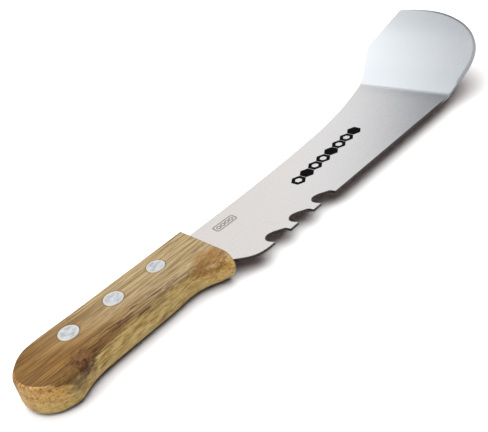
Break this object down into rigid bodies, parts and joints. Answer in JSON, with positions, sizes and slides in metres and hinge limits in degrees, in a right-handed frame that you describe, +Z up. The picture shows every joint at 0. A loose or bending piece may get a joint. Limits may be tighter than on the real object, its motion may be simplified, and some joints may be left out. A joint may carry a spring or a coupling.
{
  "type": "uncapping knife",
  "caption": "Rigid uncapping knife: broad sheet-steel blade with a hooked, notched edge and an upturned rounded scraper tip, riveted into a slotted wooden grip.",
  "frame": {"origin": "on the grip's flat underside, the face it rests on, at the middle of the grip's length and width", "axes": "+X along the knife from the butt of the grip to the scraper tip, +Y across the blade from the hooked cutting edge to the spine, +Z up, out of the face the tip is bent towards"},
  "size_m": [0.3626, 0.0752, 0.0375],
  "materials": {
    "blade_steel": "satin, finely brushed along the blade, ground rim on the tip",
    "grip_wood": "sanded and thinly oiled, straight grain along the grip",
    "rivet_metal": "bright, slightly dented by the riveting press"
  },
  "bodies": {
    "root": {"blade": "blade_steel", "grip": "grip_wood", "rear_rivet_pin": "rivet_metal", "rear_rivet_sleeve": "rivet_metal", "middle_rivet_pin": "rivet_metal", "middle_rivet_sleeve": "rivet_metal", "front_rivet_pin": "rivet_metal", "front_rivet_sleeve": "rivet_metal"}
  },
  "joints": []
}
